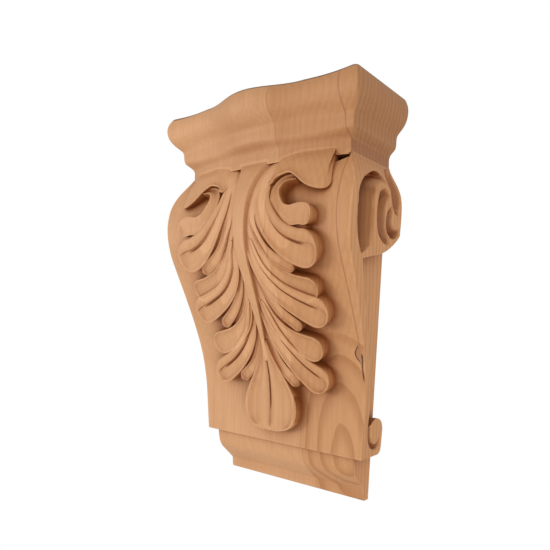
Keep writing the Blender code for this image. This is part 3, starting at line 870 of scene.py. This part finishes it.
def addGumPocket(tree, color, coords, x, z, sideways):  # ragged mark at the right arris
    ragged = times(tree, sway(tree, coords, (300, 300, 170), 3), gum["ragged"])
    narrower = minus(tree, 1.0, times(tree, within(tree, z, -0.0445, -0.0370), 0.75))
    swell = times(tree, within(tree, z, -0.0545, -0.0460), narrower)
    leftEdge = minus(tree, gum["x"], times(tree, swell, gum["bulgeLeft"]))
    bulge = times(tree, within(tree, z, -0.0545, -0.0480), gum["bulgeRight"])
    rightEdge = plus(tree, gum["x"], bulge)
    marks = []
    for edge, (low, high) in ((leftEdge, gum["leftRun"]), (rightEdge, gum["rightRun"])):
        away = size(tree, plus(tree, minus(tree, x, edge), ragged))
        length = times(tree, within(tree, z, low, low + 0.006), within(tree, z, high, high - 0.004))
        reach = plus(tree, gum["thin"], times(tree, length, gum["thick"]))
        marks.append(times(tree, within(tree, minus(tree, away, reach), 0.0002, -0.0004), length))
    inside = times(
        tree, within(tree, minus(tree, x, leftEdge), 0.0, gum["soft"]),
        within(tree, minus(tree, x, rightEdge), 0.0, -gum["soft"]),
    )
    color = blend(tree, times(tree, inside, 0.60), color, gum["heart"])
    seen = times(tree, minus(tree, 1.0, sideways), 0.90)
    return blend(tree, times(tree, calc(tree, "MAXIMUM", *marks), seen), color, gum["bark"])


hollowShade = {
    "flank": 0.0956, "swell": 0.0028, "shrink": 0.0030, "deepest": 0.0115,
    "steps": ((0.0002, 0.0022, (0.58, 0.47, 0.33)), (0.0020, 0.0090, (0.64, 0.52, 0.37))),
}


# painted shade in the scroll's hollow, darker in two steps by depth
def addHollowShade(tree, color, x, y, z, sideways):  # the deeper in the scroll, the darker
    swell = times(tree, within(tree, z, 0.030, 0.063, False), hollowShade["swell"])
    shrink = times(tree, within(tree, z, 0.078, 0.090), hollowShade["shrink"])
    flank = minus(tree, plus(tree, hollowShade["flank"], swell), shrink)
    depth = minus(tree, flank, size(tree, x))
    level = times(tree, within(tree, z, 0.0335, 0.0350), within(tree, z, 0.0940, 0.0860))
    scroll = times(tree, within(tree, y, -0.0720, -0.0695), sideways, level)
    scroll = times(tree, scroll, calc(tree, "LESS_THAN", depth, hollowShade["deepest"]))
    for low, high, tint in hollowShade["steps"]:
        color = tinted(tree, color, times(tree, scroll, within(tree, depth, low, high)), tint)
    return color


def addOcclusion(tree, distance, inside=False):
    node = tree.nodes.new("ShaderNodeAmbientOcclusion")
    node.samples = 8
    node.inside = inside
    node.inputs["Distance"].default_value = distance
    return node.outputs["AO"]


finish = {
    "darkArrisLow": 0.1636, "darkArrisHigh": 0.1650, "darkArrisEnd": 0.16496, "darkArrisSway": 0.0022,
    "darkArris": (0.13, 0.055, 0.022, 1), "wide": 0.026, "narrow": 0.0035, "ridge": 0.0016,
    "back": -0.0004, "bevel": 0.0007, "bump": 0.35, "grain": 0.0002, "specular": 0.35,
}


def makeWood():
    material = bpy.data.materials.new("cherry_wood_sanded")
    material.use_nodes = True
    tree = material.node_tree
    shader = tree.nodes["Principled BSDF"]
    texture = tree.nodes.new("ShaderNodeTexCoord")
    coords = texture.outputs["Object"]
    split = tree.nodes.new("ShaderNodeSeparateXYZ")
    tree.links.new(coords, split.inputs[0])
    x, y, z = split.outputs
    facing = tree.nodes.new("ShaderNodeSeparateXYZ")
    tree.links.new(texture.outputs["Normal"], facing.inputs[0])
    sideways = within(tree, size(tree, facing.outputs[0]), 0.55, 0.8)

    color, fibre = boardColor(tree, coords, x, y, z, sideways)
    color = addGumPocket(tree, color, coords, x, z, sideways)
    overCrown = within(tree, z, 0.100, 0.112)
    # painted shade: the crown darker from its left end rightwards
    crownShade = times(tree, overCrown, within(tree, x, -0.09, 0.0))
    color = tinted(tree, color, crownShade, (0.90, 0.885, 0.87))
    # painted light: the sides below the crown lighter
    lowSideLight = times(tree, minus(tree, 1.0, overCrown), sideways)
    color = tinted(tree, color, lowSideLight, (1.08, 1.08, 1.08))
    # painted shade: the crown's sides darker
    color = tinted(tree, color, times(tree, overCrown, sideways, 0.9), (0.83, 0.80, 0.78))
    color = addHollowShade(tree, color, x, y, z, sideways)

    # dark brown line painted along the top arris
    darkArris = times(tree, stretchedNoise(tree, coords, (30, 30, 30), 2), finish["darkArrisSway"])
    darkArrisMask = within(tree, plus(tree, z, darkArris), finish["darkArrisLow"], finish["darkArrisHigh"])
    darkArrisMask = times(tree, darkArrisMask, calc(tree, "LESS_THAN", z, finish["darkArrisEnd"]), 0.90)
    color = blend(tree, darkArrisMask, color, finish["darkArris"])

    # painted highlight on the crests, partly sanded wear; painted shade in the cuts
    ridge = within(tree, addOcclusion(tree, finish["ridge"], True), 0.90, 0.60)
    crestHighlight = times(tree, ridge, calc(tree, "LESS_THAN", y, finish["back"]), 0.80)
    color = tinted(tree, color, crestHighlight, (1.16, 1.20, 1.26))
    tint = useGroup(
        tree, makeCavityShade(), Color=color, Open=addOcclusion(tree, finish["wide"]),
        Groove=addOcclusion(tree, finish["narrow"]),
    )
    tree.links.new(tint.outputs["Color"], shader.inputs["Base Color"])

    tree.links.new(plus(tree, 0.50, times(tree, fibre, 0.16)), shader.inputs["Roughness"])
    soft = tree.nodes.new("ShaderNodeBevel")
    soft.samples = 4
    soft.inputs["Radius"].default_value = finish["bevel"]
    bump = tree.nodes.new("ShaderNodeBump")
    bump.inputs["Strength"].default_value = finish["bump"]
    bump.inputs["Distance"].default_value = finish["grain"]
    tree.links.new(fibre, bump.inputs["Height"])
    tree.links.new(soft.outputs["Normal"], bump.inputs["Normal"])
    tree.links.new(bump.outputs["Normal"], shader.inputs["Normal"])
    shader.inputs["Specular IOR Level"].default_value = finish["specular"]
    return material


wood = makeWood()
for piece in pieces:
    piece.data.materials.clear()
    piece.data.materials.append(wood)
    piece.data.shade_smooth()
    piece.data.set_sharp_from_angle(angle=math.radians(38))
    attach(piece, "root")
    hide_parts("corbel")

print("wood laid on", len(pieces), "pieces")

# stage, lights and camera
stage = {"size": 3.0, "height": -0.75, "grey": (0.8, 0.8, 0.8, 1), "roughness": 0.9}
room = {"color": (1.0, 0.95, 0.88, 1), "strength": 0.70}


def cameraMix(tree, seen, unseen, output):  # the first shader to the eye, the second to the light
    mix = tree.nodes.new("ShaderNodeMixShader")
    path = tree.nodes.new("ShaderNodeLightPath")
    tree.links.new(path.outputs["Is Camera Ray"], mix.inputs["Fac"])
    tree.links.new(unseen.outputs[0], mix.inputs[1])
    tree.links.new(seen.outputs[0], mix.inputs[2])
    tree.links.new(mix.outputs[0], output.inputs["Surface"])


bm = bmesh.new()
bmesh.ops.create_grid(bm, x_segments=1, y_segments=1, size=stage["size"])
floor = newObject("floor", bm)
floor.location.z = stage["height"]
pale = bpy.data.materials.new("pale_floor")
pale.use_nodes = True
tree = pale.node_tree
matte = tree.nodes["Principled BSDF"]
matte.inputs["Base Color"].default_value = stage["grey"]
matte.inputs["Roughness"].default_value = stage["roughness"]
cameraMix(tree, tree.nodes.new("ShaderNodeEmission"), matte, tree.nodes["Material Output"])
floor.data.materials.append(pale)

world = bpy.data.worlds.new("studio")
bpy.context.scene.world = world
world.use_nodes = True
tree = world.node_tree
dim = tree.nodes["Background"]
dim.inputs["Color"].default_value = room["color"]
dim.inputs["Strength"].default_value = room["strength"]
bright = tree.nodes.new("ShaderNodeBackground")
bright.inputs["Color"].default_value = (1, 1, 1, 1)
bright.inputs["Strength"].default_value = 1.0
cameraMix(tree, bright, dim, tree.nodes["World Output"])

lights = {
    "key": ((-0.95, -1.40, 0.05), 0.55, 9.5),
    "fill": ((1.25, -1.0, -0.35), 0.9, 8.5),
}
aim = Vector((0, -0.04, 0))
for name, (place, across, power) in lights.items():
    light = bpy.data.lights.new(name, "AREA")
    light.shape = "DISK"
    light.size = across
    light.energy = power
    lamp = bpy.data.objects.new(name, light)
    lamp.location = place
    lamp.rotation_euler = (aim - Vector(place)).to_track_quat("-Z", "Y").to_euler()
    bpy.context.scene.collection.objects.link(lamp)

view = {
    "place": (0.2884, -0.3990, -0.0164), "yaw": 38.8, "pitch": 4.21, "roll": 1.68,
    "lens": 34.74, "sensor": 36, "clip": 0.01,
}
yaw, pitch, roll = (math.radians(view[key]) for key in ("yaw", "pitch", "roll"))
ahead = Vector((-math.sin(yaw) * math.cos(pitch), math.cos(yaw) * math.cos(pitch), math.sin(pitch)))
right = Vector((math.cos(yaw), math.sin(yaw), 0.0))
up = right.cross(ahead)
across = right * math.cos(roll) + up * math.sin(roll)
upward = up * math.cos(roll) - right * math.sin(roll)
lens = bpy.data.cameras.new("camera")
lens.lens = view["lens"]
lens.sensor_width = view["sensor"]
lens.clip_start = view["clip"]
camera = bpy.data.objects.new("camera", lens)
bpy.context.scene.collection.objects.link(camera)
matrix = camera.matrix_world.copy()
for row in range(3):
    matrix[row][0] = across[row]
    matrix[row][1] = upward[row]
    matrix[row][2] = -ahead[row]
    matrix[row][3] = view["place"][row]
camera.matrix_world = matrix
bpy.context.scene.camera = camera
bpy.context.scene.view_settings.view_transform = "Standard"

bpy.context.view_layer.update()
